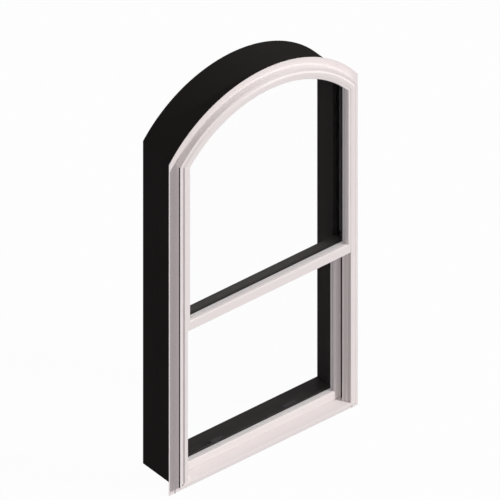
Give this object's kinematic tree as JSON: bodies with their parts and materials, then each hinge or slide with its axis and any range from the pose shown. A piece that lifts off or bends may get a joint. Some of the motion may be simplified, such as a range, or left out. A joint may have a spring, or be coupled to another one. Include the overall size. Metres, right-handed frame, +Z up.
{
  "type": "sash window",
  "caption": "Arch-top single-hung sash window in its deep jamb box: fixed arched upper sash, sliding lower sash with lock and lifts, white outside, black inside, thin nailing fins.",
  "frame": {"origin": "middle of the window's width, on the back face of the nailing fins, level with the jambs' lower ends", "axes": "+X to the right seen from outdoors, +Y into the building, +Z up"},
  "size_m": [0.9764, 0.2429, 1.8996],
  "materials": {
    "white_cladding": "warm white satin coat on pultruded fibreglass and vinyl",
    "white_vinyl": "white extruded vinyl, flat",
    "black_paint": "wood boards under satin black paint",
    "black_vinyl": "black extruded vinyl",
    "black_rubber": "black seal rubber, dull",
    "pane_glass": "clear float glass with green-grey edges",
    "white_spacer": "white coated roll-formed spacer bar",
    "plain_steel": "zinc-plated steel",
    "dark_hardware": "black powder coat, satin"
  },
  "bodies": {
    "frame": {"jamb_left": "black_paint", "jamb_right": "black_paint", "head_jamb": "black_paint", "sill_core": "black_paint", "sill_cladding": "white_cladding", "extension_left": "black_paint", "extension_right": "black_paint", "extension_head": "black_paint", "extension_sill": "black_paint", "fin_left": "white_vinyl", "fin_right": "white_vinyl", "fin_head": "white_vinyl", "fin_sill": "white_vinyl", "frame_face_left": "white_cladding", "frame_face_right": "white_cladding", "frame_face_head": "white_cladding", "corner_gasket_left": "black_rubber", "corner_gasket_right": "black_rubber", "jamb_cover_left": "white_cladding", "jamb_cover_right": "white_cladding", "cover_pile_left": "black_rubber", "cover_pile_right": "black_rubber", "track_liner_left": "black_vinyl", "track_liner_right": "black_vinyl", "inner_stop_left": "black_paint", "inner_stop_right": "black_paint", "inner_stop_head": "black_paint", "upper_stile_left": "white_cladding", "upper_stile_right": "white_cladding", "upper_arch_rail": "white_cladding", "upper_meeting_rail": "white_cladding", "upper_inner_bead": "black_paint", "upper_sash_screws": "plain_steel", "upper_pane_outer": "pane_glass", "upper_pane_inner": "pane_glass", "upper_spacer": "white_spacer", "upper_setting_blocks": "black_rubber", "meeting_seal": "black_rubber", "lock_keeper": "dark_hardware", "balance_tubes": "plain_steel"},
    "lower_sash": {"lower_stile_left": "white_cladding", "lower_stile_right": "white_cladding", "lower_top_rail": "white_cladding", "lower_bottom_rail": "white_cladding", "top_rail_cap": "black_paint", "lower_inner_bead": "black_paint", "lower_pane_outer": "pane_glass", "lower_pane_inner": "pane_glass", "lower_spacer": "white_spacer", "lower_setting_blocks": "black_rubber", "bottom_seal": "black_rubber", "lock_case": "dark_hardware", "lift_handles": "dark_hardware", "lift_screws": "plain_steel", "balance_rods": "plain_steel", "balance_brackets": "plain_steel"},
    "lock": {"lock_cam": "dark_hardware"}
  },
  "joints": [
    {"name": "sash_slide", "type": "slide", "parent": "frame", "child": "lower_sash", "axis": [0, 0, 1], "range_m": [0, 0.7]},
    {"name": "lock_turn", "type": "hinge", "parent": "lower_sash", "child": "lock", "pos_m": [0, 0.036, 0.796], "axis": [0, 0, 1], "range_deg": [0, 90]}
  ]
}
